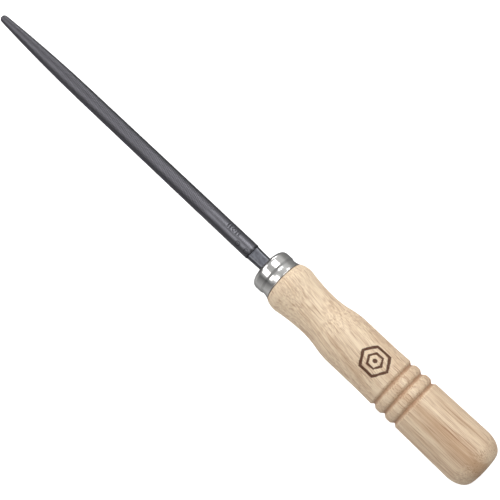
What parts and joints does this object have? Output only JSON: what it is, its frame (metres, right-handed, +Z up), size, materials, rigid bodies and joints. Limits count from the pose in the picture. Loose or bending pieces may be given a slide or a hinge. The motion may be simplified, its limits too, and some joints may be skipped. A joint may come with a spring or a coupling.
{
  "type": "round file with wooden handle",
  "caption": "Round tapered metalworking file with a turned wooden handle and a rolled steel ferrule.",
  "frame": {"origin": "centre of the handle's flat butt face, on the tool's axis", "axes": "+X along the tool's axis from the butt to the point of the file, +Z up with the tool lying down; the tang's two flats face +-Z"},
  "size_m": [0.2561, 0.02, 0.02],
  "materials": {
    "file_steel": "hardened steel, dark grey, finely toothed on the blade and ground smooth on heel and tang",
    "ferrule_steel": "bright polished",
    "handle_wood": "turned and sanded pale hardwood with a thin clear finish"
  },
  "bodies": {
    "root": {"file_blank": "file_steel", "ferrule": "ferrule_steel", "handle": "handle_wood"}
  },
  "joints": []
}
